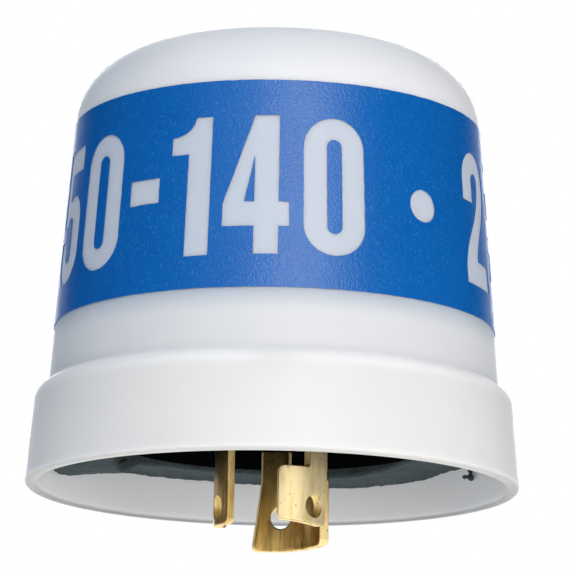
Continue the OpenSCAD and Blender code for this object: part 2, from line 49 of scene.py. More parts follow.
weldGap = 0.001 * mm  # points this close are one
noiseSeed = 1
noise.seed_set(noiseSeed)  # else the clock sets it, and the frayed edges change with each run
print("frame loaded:", len(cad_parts), "nodes")


# Helpers

def linear(hexText):
    # sRGB hex to the linear colour that shaders use
    parts = [int(hexText[i:i + 2], 16) / 255 for i in (1, 3, 5)]
    return [c / 12.92 if c < 0.04045 else ((c + 0.055) / 1.055) ** 2.4 for c in parts] + [1]


def outputOf(source):
    # a node's first output in use; a socket or a plain value stays as it is
    if isinstance(source, bpy.types.Node):
        return next(socket for socket in source.outputs if socket.enabled)
    return source


def addNode(tree, kind, links=None, **settings):
    # links: socket name or number to another node, to one of its sockets, or to a plain value
    node = tree.nodes.new(kind)
    for name, value in settings.items():
        setattr(node, name, value)
    for socket, source in (links or {}).items():
        source = outputOf(source)
        if isinstance(source, bpy.types.NodeSocket):
            tree.links.new(source, node.inputs[socket])
        else:
            node.inputs[socket].default_value = source
    return node


def startMaterial(name, **sockets):
    # a Principled shader with its constants on its own sockets, and Object coordinates
    material = bpy.data.materials.new(name)
    material.use_nodes = True
    tree = material.node_tree
    tree.nodes.clear()
    shader = addNode(tree, "ShaderNodeBsdfPrincipled")
    for socket, value in sockets.items():
        shader.inputs[socket.replace("_", " ")].default_value = value
    addNode(tree, "ShaderNodeOutputMaterial", {"Surface": shader})
    place = addNode(tree, "ShaderNodeTexCoord").outputs["Object"]
    return material, tree, shader, place


def feed(shader, **sources):
    # links nodes to the shader's sockets
    for socket, source in sources.items():
        shader.id_data.links.new(outputOf(source), shader.inputs[socket.replace("_", " ")])


def perMetre(sizeMm):
    # texture scale for features of that size, in Object coordinates of metres
    return 1 / (sizeMm * mm)


def addObject(name, data):
    obj = bpy.data.objects.new(name, data)
    scene.collection.objects.link(obj)
    return obj


def startTree(name, **inputs):
    # a Geometry Nodes tree with named inputs for its sizes, listed by kind, and a material
    tree = bpy.data.node_groups.new(name, "GeometryNodeTree")
    tree.interface.new_socket("Geometry", in_out="INPUT", socket_type="NodeSocketGeometry")
    for kind, sizes in inputs.items():
        for size in sizes:
            tree.interface.new_socket(size, in_out="INPUT", socket_type="NodeSocket" + kind)
    tree.interface.new_socket("Material", in_out="INPUT", socket_type="NodeSocketMaterial")
    tree.interface.new_socket("Geometry", in_out="OUTPUT", socket_type="NodeSocketGeometry")
    return tree, addNode(tree, "NodeGroupInput").outputs


def endTree(tree, geometry, material):
    smooth = addNode(tree, "GeometryNodeSetShadeSmooth", {"Geometry": geometry})
    real = addNode(tree, "GeometryNodeRealizeInstances", {"Geometry": smooth})
    dressed = addNode(tree, "GeometryNodeSetMaterial", {"Geometry": real, "Material": material})
    addNode(tree, "NodeGroupOutput", {"Geometry": dressed})


def plainMesh(obj):
    # the evaluated object as a mesh of its own; the object goes, and its modifiers with it
    depsgraph = bpy.context.evaluated_depsgraph_get()
    mesh = bpy.data.meshes.new_from_object(obj.evaluated_get(depsgraph), depsgraph=depsgraph)
    bpy.data.objects.remove(obj)
    return mesh


def runTree(obj, tree, values):
    # the tree's result as a plain mesh in a new object of the same name
    modifier = obj.modifiers.new(tree.name, "NODES")
    modifier.node_group = tree
    for item in tree.interface.items_tree:
        if item.in_out == "INPUT" and item.name in values:
            modifier[item.identifier] = values[item.name]
    name = obj.name
    mesh = plainMesh(obj)
    mesh.name = name
    return addObject(name, mesh)


def openMesh(mesh):
    bm = bmesh.new()
    bm.from_mesh(mesh)
    return bm


def closeMesh(bm, mesh):
    # turns the faces outwards and writes them to the mesh
    bmesh.ops.recalc_face_normals(bm, faces=bm.faces)
    bm.to_mesh(mesh)
    bm.free()


def sharpen(obj, degrees):
    # smooth shading that breaks at edges sharper than this
    obj.data.set_sharp_from_angle(angle=math.radians(degrees))


def arc(x, y, radius, start, end, steps):
    # points on an arc, angles in degrees
    angles = [math.radians(start + (end - start) * i / steps) for i in range(steps + 1)]
    return [(x + radius * math.cos(a), y + radius * math.sin(a)) for a in angles]


def circle(x, y, radius, count):
    # points all round a circle
    return arc(x, y, radius, 0, 360 - 360 / count, count - 1)


def bend(first, firstPull, lastPull, last, steps):
    # points on a cubic curve, without its first point
    points = []
    for i in range(1, steps + 1):
        t = i / steps
        weights = ((1 - t) ** 3, 3 * t * (1 - t) ** 2, 3 * t * t * (1 - t), t ** 3)
        four = (first, firstPull, lastPull, last)
        points.append(tuple(sum(w * p[k] for w, p in zip(weights, four)) for k in (0, 1)))
    return points


def cutStrips(bm, cutStep, creases=()):
    # cuts a flat mesh across X every so many mm, and across Y at the creases
    across = [v.co.x for v in bm.verts]
    low, high = min(across), max(across)
    cuts = int((high - low) / (cutStep * mm))
    planes = [((low + i * (high - low) / (cuts + 1), 0, 0), (1, 0, 0)) for i in range(1, cuts + 1)]
    planes += [((0, y * mm, 0), (0, 1, 0)) for y in creases]
    for place, normal in planes:
        everything = bm.verts[:] + bm.edges[:] + bm.faces[:]
        bmesh.ops.bisect_plane(bm, geom=everything, dist=cutGap, plane_co=place, plane_no=normal)


def flatPiece(name, contours, thickness, edge, cutStep, creases=()):
    # a plate in X and Y from outlines in mm, nested ones being holes, cut in strips so that it can be rolled
    curve = bpy.data.curves.new(name, "CURVE")
    curve.dimensions = "2D"
    curve.fill_mode = "BOTH"
    curve.extrude = (thickness / 2 - edge) * mm
    curve.bevel_depth = edge * mm
    curve.offset = -edge * mm
    curve.bevel_resolution = 2
    for contour in contours:
        spline = curve.splines.new("POLY")
        spline.points.add(len(contour) - 1)
        for point, (x, y) in zip(spline.points, contour):
            point.co = (x * mm, y * mm, 0, 1)
        spline.use_cyclic_u = True
    mesh = plainMesh(addObject(name, curve))
    bm = openMesh(mesh)
    bmesh.ops.remove_doubles(bm, verts=bm.verts, dist=weldGap)
    cutStrips(bm, cutStep, creases)
    closeMesh(bm, mesh)
    return addObject(name, mesh)


# Wraps a flat piece round a drafted wall: X runs round it, Y is the height and Z stands off it

wrapTree, wrapIn = startTree(
    "wrapRound", Float=("Wall radius", "Wall height", "Slope", "Roll radius", "Start angle"))
flatSpot = addNode(wrapTree, "GeometryNodeInputPosition")
flatAxes = addNode(wrapTree, "ShaderNodeSeparateXYZ", {0: flatSpot}).outputs
turned = addNode(wrapTree, "ShaderNodeMath", {
    0: flatAxes["X"], 1: wrapIn["Roll radius"]}, operation="DIVIDE")
angle = addNode(wrapTree, "ShaderNodeMath", {0: turned, 1: wrapIn["Start angle"]})
climb = addNode(wrapTree, "ShaderNodeMath", {
    0: flatAxes["Y"], 1: wrapIn["Wall height"]}, operation="SUBTRACT")
drawIn = addNode(wrapTree, "ShaderNodeMath", {0: climb, 1: wrapIn["Slope"]}, operation="MULTIPLY")
wall = addNode(wrapTree, "ShaderNodeMath", {0: wrapIn["Wall radius"], 1: drawIn}, operation="SUBTRACT")
radius = addNode(wrapTree, "ShaderNodeMath", {0: wall, 1: flatAxes["Z"]})
cosine = addNode(wrapTree, "ShaderNodeMath", {0: angle}, operation="COSINE")
sine = addNode(wrapTree, "ShaderNodeMath", {0: angle}, operation="SINE")
alongX = addNode(wrapTree, "ShaderNodeMath", {0: radius, 1: cosine}, operation="MULTIPLY")
alongY = addNode(wrapTree, "ShaderNodeMath", {0: radius, 1: sine}, operation="MULTIPLY")
wrapped = addNode(wrapTree, "ShaderNodeCombineXYZ", {0: alongX, 1: alongY, 2: flatAxes["Y"]})
moved = addNode(wrapTree, "GeometryNodeSetPosition", {"Geometry": wrapIn["Geometry"], "Position": wrapped})
endTree(wrapTree, moved, wrapIn["Material"])


# Camera, low in front and looking up into the skirt

cameraSettings = {
    "lens": 208.56, "sensor": 36, "place": (0, -522.09, -89.32), "look": (0.00381, 0.97643, 0.21579),
    "roll": 0.0157}
cameraData = bpy.data.cameras.new("camera")
cameraData.lens = cameraSettings["lens"]
cameraData.sensor_width = cameraSettings["sensor"]
camera = addObject("camera", cameraData)
camera.location = Vector(cameraSettings["place"]) * mm
camera.rotation_mode = "QUATERNION"
camera.rotation_quaternion = (Vector(cameraSettings["look"]).to_track_quat("-Z", "Y")
                              @ Quaternion((0, 0, 1), cameraSettings["roll"]))
scene.camera = camera
print("camera set")


# Milky polypropylene, injection moulded: light sinks in and comes out soft, with a satin skin

coverLook = {
    # the rim's two tones are painted shade, the second one at the back
    "rim": "#cdc9c0", "rimBackShade": "#817e7a", "rimFront": -34, "rimFar": 14,
    "rising": {  # each tone, and the heights between which it takes over from the one below
        # the step's tone is a painted highlight on the shoulder; the body's tone is painted shade of the thin
        # wall over the dark hollow; the two tones just under and behind the band are painted shade where the
        # ink keeps light out of the wall
        "skirt": ("#ebe9e7", -6.7, -6.1), "step": ("#fcfbfa", 6.2, 7.8), "body": ("#e1e2e4", 8.65, 9.7),
        "shadeBelowInk": ("#a9b7c8", 14.4, 20), "behindInk": ("#c8d0dd", 18.2, 19.4),
        "dome": ("#edeef1", 50.4, 51.6)},
    "cloud": "#c4c9ce", "cloudGrain": 14, "cloudShare": 0.2, "skinGrain": 0.9, "satin": 0.38, "dull": 0.47,
    "dimple": 0.12, "dimpleDepth": 0.05}
coverMaterial, tree, shader, place = startMaterial(
    "milkyPolypropyleneMoulded", IOR=1.49, Roughness=0.42, Subsurface_Weight=0.6,
    Subsurface_Radius=(1, 1, 1), Subsurface_Scale=2 * mm, Specular_IOR_Level=0.16)
axes = addNode(tree, "ShaderNodeSeparateXYZ", {0: place}).outputs
rimShadeTowardsBack = addNode(tree, "ShaderNodeMapRange", {
    "Value": axes["Y"], "From Min": coverLook["rimFront"] * mm, "From Max": coverLook["rimFar"] * mm})
color = addNode(tree, "ShaderNodeMix", {  # painted shade: the rim's tone, darker towards the back
    0: rimShadeTowardsBack, 6: linear(coverLook["rim"]), 7: linear(coverLook["rimBackShade"])}, data_type="RGBA")
for tone, start, end in coverLook["rising"].values():  # painted light by height: the rim's painted shade gives way to the skirt, then a painted highlight on the step and painted shade on the body and round the band
    reached = addNode(tree, "ShaderNodeMapRange", {
        "Value": axes["Z"], "From Min": start * mm, "From Max": end * mm}, interpolation_type="SMOOTHSTEP")
    color = addNode(tree, "ShaderNodeMix", {0: reached, 6: color, 7: linear(tone)}, data_type="RGBA")
cloud = addNode(tree, "ShaderNodeTexNoise", {
    "Vector": place, "Scale": perMetre(coverLook["cloudGrain"]), "Detail": 2})
faint = addNode(tree, "ShaderNodeMapRange", {"Value": cloud, "To Max": coverLook["cloudShare"]})
clouded = addNode(tree, "ShaderNodeMix", {
    0: faint, 6: color, 7: linear(coverLook["cloud"])}, data_type="RGBA")
skin = addNode(tree, "ShaderNodeTexNoise", {
    "Vector": place, "Scale": perMetre(coverLook["skinGrain"]), "Detail": 3})
satin = addNode(tree, "ShaderNodeMapRange", {
    "Value": skin, "To Min": coverLook["satin"], "To Max": coverLook["dull"]})
dimple = addNode(tree, "ShaderNodeBump", {
    "Height": skin, "Strength": coverLook["dimple"], "Distance": coverLook["dimpleDepth"] * mm})
feed(shader, Base_Color=clouded, Roughness=satin, Normal=dimple)

# Cover: one moulding, turned from its section

coverSettings = {
    "rimRadius": 39, "skirtDraft": 4.8, "skirtWall": 2, "rimRound": 0.7, "ledge": 6.4, "shoulder": 2.7,
    "shoulderRound": 2.7, "stepWidth": 1.95, "stepFillet": 1.1, "bodyDraft": 4.25, "bodyHeight": 54.7,
    "bodyWall": 1.8, "domeRound": 11.2, "crownRadius": 200, "gateRadius": 2.5, "gateFlat": 1.5,
    "gateDepth": 0.6, "gateRound": 0.25, "beadHeight": 4.8, "beadRadius": 0.8, "beadRise": 0.4,
    "keyWidth": 5, "keyReach": 2, "keyTurn": 30, "keyCount": 3,
    "bodyRings": (30, 20, 10, 3), "shoulderRing": 0.5, "skirtRings": (2, -2), "innerRing": 20,
    "steps": {"crown": 24, "dome": 28, "gate": 4, "fillet": 6, "shoulder": 16, "rim": 8, "bead": 8},
    "settle": 4, "turnRadius": 10, "weld": 0.0005, "segments": 240, "sharpAngle": 40}


def coverSection(s, rimHeight):
    # the section's points in mm from the crown out and down, then up inside, and the body wall's own values
    skirtLean, bodyLean = math.radians(s["skirtDraft"]), math.radians(s["bodyDraft"])
    skirtSlope, bodySlope = math.tan(skirtLean), math.tan(bodyLean)
    steps = s["steps"]
    step = s["ledge"] + s["shoulder"]
    crown = step + s["bodyHeight"]
    crownMiddle = crown - s["crownRadius"]

    def skirt(z):
        return s["rimRadius"] - skirtSlope * (z - rimHeight)

    bodyRadius = skirt(step) - s["stepWidth"]
    domeZ = crown - s["domeRound"]
    for _ in range(s["settle"]):  # the dome's round touches the body's side and the crown
        domeX = bodyRadius - bodySlope * (domeZ - step) - s["domeRound"] / math.cos(bodyLean)
        domeZ = crownMiddle + math.sqrt((s["crownRadius"] - s["domeRound"]) ** 2 - domeX ** 2)
    crownEnd = 90 - math.degrees(math.asin(domeX / (s["crownRadius"] - s["domeRound"])))

    def bodyRun(wallIn):
        # crown and dome, moved in by a wall, from the axis out
        top = arc(0, crownMiddle, s["crownRadius"] - wallIn, 90, crownEnd, steps["crown"])
        return top + arc(domeX, domeZ, s["domeRound"] - wallIn, crownEnd, s["bodyDraft"], steps["dome"])[1:]

    gate, gateRound = s["gateRadius"], s["gateRound"]
    gateZ = crown - s["gateDepth"]
    crownAtGate = crownMiddle + math.sqrt(s["crownRadius"] ** 2 - (gate + gateRound) ** 2)
    points = [(0, gateZ), (s["gateFlat"], gateZ)]
    points += arc(gate - gateRound, gateZ + gateRound, gateRound, -90, 0, steps["gate"])
    points += arc(gate + gateRound, crownAtGate - gateRound, gateRound, 180, 90, steps["gate"])
    points += [p for p in bodyRun(0) if p[0] > gate + 2 * gateRound]
    points += [(bodyRadius - bodySlope * rise, step + rise) for rise in s["bodyRings"]]
    fillet = s["stepFillet"]
    shoulderZ = step - s["shoulderRound"]
    shoulderX = skirt(shoulderZ) - s["shoulderRound"] / math.cos(skirtLean)
    filletZ = step + fillet
    for _ in range(s["settle"]):  # the fillet touches the body's side and the shoulder's round
        filletX = bodyRadius - bodySlope * (filletZ - step) + fillet / math.cos(bodyLean)
        filletZ = shoulderZ + math.sqrt((s["shoulderRound"] + fillet) ** 2 - (filletX - shoulderX) ** 2)
    meet = math.degrees(math.atan2(filletZ - shoulderZ, filletX - shoulderX))
    points += arc(filletX, filletZ, fillet, 180 + s["bodyDraft"], 180 + meet, steps["fillet"])
    points += arc(shoulderX, shoulderZ, s["shoulderRound"], meet, s["skirtDraft"], steps["shoulder"])[1:]
    rimRound = s["rimRound"]
    rimMiddle = rimHeight + rimRound
    rimTop = rimHeight + 2 * rimRound
    innerRim = s["rimRadius"] - s["skirtWall"]
    points += [(skirt(z), z) for z in (shoulderZ - s["shoulderRing"], *s["skirtRings"], rimTop)]
    points += arc(s["rimRadius"] - rimRound, rimMiddle, rimRound, s["skirtDraft"], -90, steps["rim"])
    points += arc(innerRim + rimRound, rimMiddle, rimRound, -90, -180 + s["skirtDraft"], steps["rim"])
    bead = skirt(s["beadHeight"]) - s["skirtWall"] + s["beadRadius"] - s["beadRise"]
    spread = math.degrees(math.acos(1 - s["beadRise"] / s["beadRadius"]))
    points += [(skirt(z) - s["skirtWall"], z) for z in (rimTop, *reversed(s["skirtRings"]))]
    points += arc(bead, s["beadHeight"], s["beadRadius"], 180 + spread, 180 - spread, steps["bead"])
    points.append((skirt(s["ledge"]) - s["skirtWall"], s["ledge"]))
    inner = bodyRun(s["bodyWall"])
    foot = inner[-1][0] + bodySlope * (inner[-1][1] - s["ledge"])
    points += [(foot, s["ledge"]), (foot - bodySlope * s["innerRing"], s["ledge"] + s["innerRing"])]
    return points + inner[::-1], {
        "radius": bodyRadius, "height": step, "slope": bodySlope, "key": skirt(s["ledge"])}


turnTree, turnIn = startTree(
    "turnSection", Int=("Segments", "Key count"), Vector=("Key size",),
    Float=("Turn radius", "Key radius", "Key turn", "Key height"))
line = addNode(turnTree, "GeometryNodeMeshToCurve", {"Mesh": turnIn["Geometry"]})
ring = addNode(turnTree, "GeometryNodeCurvePrimitiveCircle", {
    "Resolution": turnIn["Segments"], "Radius": turnIn["Turn radius"]})
shell = addNode(turnTree, "GeometryNodeCurveToMesh", {"Curve": ring, "Profile Curve": line})
closed = addNode(turnTree, "GeometryNodeMergeByDistance", {
    "Geometry": shell, "Distance": coverSettings["weld"] * mm})
keyRing = addNode(turnTree, "GeometryNodeCurvePrimitiveCircle", {
    "Resolution": turnIn["Key count"], "Radius": turnIn["Key radius"]})
keyBlock = addNode(turnTree, "GeometryNodeMeshCube", {"Size": turnIn["Key size"]})
tangent = addNode(turnTree, "GeometryNodeInputTangent")
facing = addNode(turnTree, "FunctionNodeAlignRotationToVector", {"Vector": tangent}, axis="Y")
keys = addNode(turnTree, "GeometryNodeInstanceOnPoints", {
    "Points": keyRing, "Instance": keyBlock, "Rotation": facing})
keyLift = addNode(turnTree, "ShaderNodeCombineXYZ", {2: turnIn["Key height"]})
keyTurn = addNode(turnTree, "ShaderNodeCombineXYZ", {2: turnIn["Key turn"]})
placed = addNode(turnTree, "GeometryNodeTransform", {
    "Geometry": keys, "Translation": keyLift, "Rotation": keyTurn})
both = addNode(turnTree, "GeometryNodeJoinGeometry", {"Geometry": closed})
turnTree.links.new(placed.outputs[0], both.inputs[0])
endTree(turnTree, both, turnIn["Material"])


def turnCover(s, section, wall):
    sectionMesh = bpy.data.meshes.new("section")
    sectionMesh.from_pydata([((x - s["turnRadius"]) * mm, -z * mm, 0) for x, z in section],
                            [(i, i + 1) for i in range(len(section) - 1)], [])
    keyLow = s["beadHeight"] - s["beadRadius"]
    keyTop = s["ledge"] + s["shoulder"] / 2
    keyLength = s["keyReach"] + s["skirtWall"] / 2
    keyInside = wall["key"] - s["skirtWall"] - s["keyReach"]
    return runTree(addObject("coverShell", sectionMesh), turnTree, {
        "Segments": s["segments"], "Turn radius": s["turnRadius"] * mm, "Key count": s["keyCount"],
        "Key radius": (keyInside + keyLength / 2) * mm, "Key turn": math.radians(s["keyTurn"]),
        "Key size": (keyLength * mm, s["keyWidth"] * mm, (keyTop - keyLow) * mm),
        "Key height": (keyTop + keyLow) / 2 * mm, "Material": coverMaterial})


rimLow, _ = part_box("cover")
section, bodyWall = coverSection(coverSettings, rimLow.z / mm)
cover = turnCover(coverSettings, section, bodyWall)
closeMesh(openMesh(cover.data), cover.data)
sharpen(cover, coverSettings["sharpAngle"])
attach(cover, "root")
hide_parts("cover")
print("cover turned:", len(cover.data.polygons), "faces")


# Blue screen ink: an even film with the mesh's grain in its gloss and fine pale specks. The grain is drawn
# coarser than a real screen's, so that it shows.

inkLook = {
    "film": "#015cac", "filmLight": "#0263b4", "patchGrain": 9, "grain": 0.35, "speck": "#5b9bd6",
    "speckFrom": 0.58, "speckFull": 0.78, "speckShare": 0.4, "glossy": 0.24, "dull": 0.37, "tooth": 0.8,
    "toothDepth": 0.1}
inkMaterial, tree, shader, place = startMaterial(
    "blueScreenInk", IOR=1.5, Roughness=0.3, Specular_IOR_Level=0.36)
grain = addNode(tree, "ShaderNodeTexNoise", {
    "Vector": place, "Scale": perMetre(inkLook["grain"]), "Detail": 2})
patch = addNode(tree, "ShaderNodeTexNoise", {
    "Vector": place, "Scale": perMetre(inkLook["patchGrain"]), "Detail": 3})
film = addNode(tree, "ShaderNodeMix", {
    0: patch, 6: linear(inkLook["film"]), 7: linear(inkLook["filmLight"])}, data_type="RGBA")
speck = addNode(tree, "ShaderNodeMapRange", {
    "Value": grain, "From Min": inkLook["speckFrom"], "From Max": inkLook["speckFull"],
    "To Max": inkLook["speckShare"]})
speckled = addNode(tree, "ShaderNodeMix", {
    0: speck, 6: film, 7: linear(inkLook["speck"])}, data_type="RGBA")
gloss = addNode(tree, "ShaderNodeMapRange", {
    "Value": grain, "To Min": inkLook["glossy"], "To Max": inkLook["dull"]})
tooth = addNode(tree, "ShaderNodeBump", {
    "Height": grain, "Strength": inkLook["tooth"], "Distance": inkLook["toothDepth"] * mm})
feed(shader, Base_Color=speckled, Roughness=gloss, Normal=tooth)

# Band: printed film with plain numbers left bare in it

bandSettings = {
    "low": 18.5, "high": 51.3, "lift": 0.05, "film": 0.12, "text": "50-140 . 25 . 10", "textLow": 5.1,
    "textStart": 99, "figureGap": 1.9, "seam": 0.2, "seamTurn": 90, "ragged": 0.05, "raggedStep": 0.4,
    "strip": 1.2, "sharpAngle": 40}
figures = {  # each sign's width and its outlines, in mm
    "0": (9.8, [arc(4.9, 17.1, 4.8, 0, 180, 16) + arc(4.9, 4.9, 4.8, 180, 360, 16),
                arc(4.9, 17.3, 1.15, 0, 180, 8) + arc(4.9, 4.7, 1.15, 180, 360, 8)]),
    "1": (6.8, [[(2.9, 0), (6.7, 0), (6.7, 22), (4, 22)] + bend((4, 22), (3.6, 20), (2.2, 19.2), (0, 19), 6)
                + [(0, 16.2), (2.9, 16.2)]]),
    "2": (9.8, [[(0.1, 13.4)] + arc(4.9, 17.1, 4.8, 180, 0, 16)
                + bend((9.7, 17.1), (9.7, 11.5), (5.4, 9.2), (4.6, 4.1), 12)
                + [(9.7, 4.1), (9.7, 0), (0.1, 0), (0.1, 2.8)]
                + bend((0.1, 2.8), (0.8, 8.6), (6, 11), (6, 17.3), 12)
                + arc(4.9, 17.3, 1.1, 0, 180, 8)[1:] + [(3.8, 13.4)]]),
    "4": (10.2, [[(4.7, 22), (8.5, 22), (8.5, 8.3), (10.1, 8.3), (10.1, 4.4), (8.5, 4.4), (8.5, 0), (4.8, 0),
                  (4.8, 4.4), (0, 4.4), (0, 8)], [(3.3, 8.3), (4.8, 8.3), (4.8, 15.6)]]),
    "5": (9.8, [[(0.6, 22), (9.2, 22), (9.2, 18), (4.2, 18), (4.2, 13.6)]
                + bend((4.2, 13.6), (5.4, 14.9), (9.7, 14.8), (9.7, 9.6), 8)
                + arc(4.9, 4.9, 4.8, 0, -180, 16) + [(0.1, 7.4), (3.8, 7.4)] + arc(4.9, 4.7, 1.1, 180, 360, 8)
                + arc(4.9, 9.8, 1.1, 0, 180, 8) + [(0.6, 9.8)]]),
    "-": (5.6, [[(0, 9), (5.6, 9), (5.6, 13), (0, 13)]]),
    ".": (5.2, [circle(2.6, 10, 2.6, 24)]),
    " ": (4.2, [])}


def ragged(contour, step, amount, keep=()):
    # resamples an outline and frays it; sides whose X is in keep stay straight
    points = []
    for (x0, y0), (x1, y1) in zip(contour, contour[1:] + contour[:1]):
        count = max(1, round(math.hypot(x1 - x0, y1 - y0) / step))
        if x0 == x1 and x0 in keep:
            count = 1
        points += [(x0 + (x1 - x0) * i / count, y0 + (y1 - y0) * i / count) for i in range(count)]
    noiseLayer = 3.7  # the slice of the noise that is used
    waveSteps = 3  # steps to one wave of the fray
    frayed = []
    for x, y in points:
        if x in keep:
            frayed.append((x, y))
            continue
        shift = noise.noise_vector(Vector((x, y, noiseLayer)) / (waveSteps * step)) * amount
        frayed.append((x + shift.x, y + shift.y))
    return frayed


def inside(point, contour):
    # whether a point lies in an outline
    x, y = point
    crossings = 0
    for (x0, y0), (x1, y1) in zip(contour, contour[1:] + contour[:1]):
        if (y0 > y) != (y1 > y) and x < x0 + (y - y0) * (x1 - x0) / (y1 - y0):
            crossings += 1
    return crossings % 2 == 1


def inkFilm(name, contours, thickness, cutStep):
    # a thin film in outlines in mm: the first is its edge, those in it are bare, islands in these are inked
    points = [Vector(p) for contour in contours for p in contour]
    edges = []
    first = 0
    for contour in contours:
        count = len(contour)
        edges += [(first + i, first + (i + 1) % count) for i in range(count)]
        first += count
    keepInside = 1  # only triangles within the edges
    joinGap = 1e-5  # points this close, in mm, are one
    spots, _, triangles, _, _, _ = delaunay_2d_cdt(points, edges, [], keepInside, joinGap)
    frames = [(min(x for x, y in c), max(x for x, y in c), min(y for x, y in c), max(y for x, y in c), c)
              for c in contours[1:]]
    bm = bmesh.new()
    corners = [bm.verts.new((x * mm, y * mm, -thickness / 2 * mm)) for x, y in spots]
    for triangle in triangles:
        x, y = sum((spots[i] for i in triangle), Vector((0, 0))) / 3
        around = [c for left, right, low, high, c in frames if left < x < right and low < y < high]
        if sum(inside((x, y), c) for c in around) % 2 == 0:
            bm.faces.new([corners[i] for i in triangle])
    cutStrips(bm, cutStep)
    loose = [v for v in bm.verts if not v.link_faces]
    bmesh.ops.delete(bm, geom=loose, context="VERTS")
    raised = bmesh.ops.extrude_face_region(bm, geom=bm.faces[:], use_keep_orig=True)["geom"]
    for part in raised:
        if isinstance(part, bmesh.types.BMVert):
            part.co.z += thickness * mm
    mesh = bpy.data.meshes.new(name)
    closeMesh(bm, mesh)
    return addObject(name, mesh)


def printBand(s, wall):
    middle = (s["low"] + s["high"]) / 2
    roll = wall["radius"] - wall["slope"] * (middle - wall["height"])
    length = 2 * math.pi * roll - s["seam"]
    contours = [ragged([(0, s["low"]), (length, s["low"]), (length, s["high"]), (0, s["high"])],
                       s["raggedStep"], s["ragged"], keep=(0, length))]
    x = s["textStart"] * math.pi / 180 * roll
    for sign in s["text"]:
        width, shapes = figures[sign]
        for shape in shapes:
            lifted = [(x + px, s["low"] + s["textLow"] + py) for px, py in shape]
            contours.append(ragged(lifted, s["raggedStep"], s["ragged"]))
        x += width + s["figureGap"]
    flat = inkFilm("printedFilm", contours, s["film"], s["strip"])
    return runTree(flat, wrapTree, {
        "Wall radius": (wall["radius"] + s["lift"] + s["film"] / 2) * mm, "Wall height": wall["height"] * mm,
        "Slope": wall["slope"], "Roll radius": roll * mm, "Start angle": math.radians(s["seamTurn"]),
        "Material": inkMaterial})


band = printBand(bandSettings, bodyWall)
sharpen(band, bandSettings["sharpAngle"])
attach(band, "root")
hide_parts("printed_band")
print("band printed:", len(band.data.polygons), "faces")


# Closed-cell foam, die cut: matt charcoal, its cut cells give a fine dull grain and a frayed edge

foamLook = {
    "dark": "#252d2e", "light": "#40494b", "fadeGrain": 3, "cell": 0.45, "pore": "#151a1b", "poreReach": 0.35,
    # the nick's colour is painted shade: a near-black spot that stands for the shadow in a cut
    "poreShare": 0.55, "pitting": 0.7, "pitDepth": 0.2, "nickShade": "#050606", "nickPlace": (-24.1, 7.4, -1.2),
    "nickTurn": (0.29, 0, -0.3), "nickSize": (0.7, 2.3, 0.3), "nickFull": 0.85, "nickEnd": 1.15}
foamMaterial, tree, shader, place = startMaterial(
    "closedCellFoamDieCut", IOR=1.45, Roughness=0.85, Specular_IOR_Level=0.3)
cells = addNode(tree, "ShaderNodeTexVoronoi", {"Vector": place, "Scale": perMetre(foamLook["cell"])})
fade = addNode(tree, "ShaderNodeTexNoise", {
    "Vector": place, "Scale": perMetre(foamLook["fadeGrain"]), "Detail": 4})
cut = addNode(tree, "ShaderNodeMix", {
    0: fade, 6: linear(foamLook["dark"]), 7: linear(foamLook["light"])}, data_type="RGBA")
pore = addNode(tree, "ShaderNodeMapRange", {
    "Value": cells, "From Max": foamLook["poreReach"], "To Min": foamLook["poreShare"], "To Max": 0})
porous = addNode(tree, "ShaderNodeMix", {
    0: pore, 6: cut, 7: linear(foamLook["pore"])}, data_type="RGBA")
slit = addNode(tree, "ShaderNodeMapping", {  # painted shade of a nick in the foam's inner edge, a dark spot with no cut in the shape
    "Vector": place, "Location": Vector(foamLook["nickPlace"]) * mm, "Rotation": foamLook["nickTurn"],
    "Scale": Vector(foamLook["nickSize"]) * mm}, vector_type="TEXTURE")
nickReach = addNode(tree, "ShaderNodeVectorMath", {0: slit}, operation="LENGTH")
nickShade = addNode(tree, "ShaderNodeMapRange", {
    "Value": nickReach, "From Min": foamLook["nickFull"], "From Max": foamLook["nickEnd"],
    "To Min": 1, "To Max": 0})
nickShaded = addNode(tree, "ShaderNodeMix", {
    0: nickShade, 6: porous, 7: linear(foamLook["nickShade"])}, data_type="RGBA")
pitted = addNode(tree, "ShaderNodeBump", {
    "Height": cells, "Strength": foamLook["pitting"], "Distance": foamLook["pitDepth"] * mm})
feed(shader, Base_Color=nickShaded, Normal=pitted)

# Gasket: a foam ring that has crept out of flat round the base

gasketSettings = {
    "insideRadius": 25.2, "edgeRound": 0.35, "segments": 720, "sides": 56, "frayGrain": 0.9, "fray": 0.28,
    "waveGrain": 6, "wave": 0.25, "creepSpan": 4, "seed": 4,
    "creep": {  # angle in degrees to drop in mm
        0: 0, 31: 0.1, 46: -0.6, 66: -0.95, 96: -0.22, 126: -0.05, 144: -0.67, 152: -1.45, 160: -2.85,
        166: -3, 174: -2.3, 184: -1.1, 200: -0.4, 260: -0.2, 310: 0.1, 360: 0},
    "crumb": [  # middle and half widths of each lump
        ((32.3, 15.5, -0.5), (0.36, 0.36, 0.75)), ((32.3, 15.4, -1.6), (0.62, 0.62, 0.55)),
        ((31.5, 15.6, -1.55), (0.46, 0.46, 0.36))],
    "crumbFray": 0.16, "crumbGrain": 0.5}

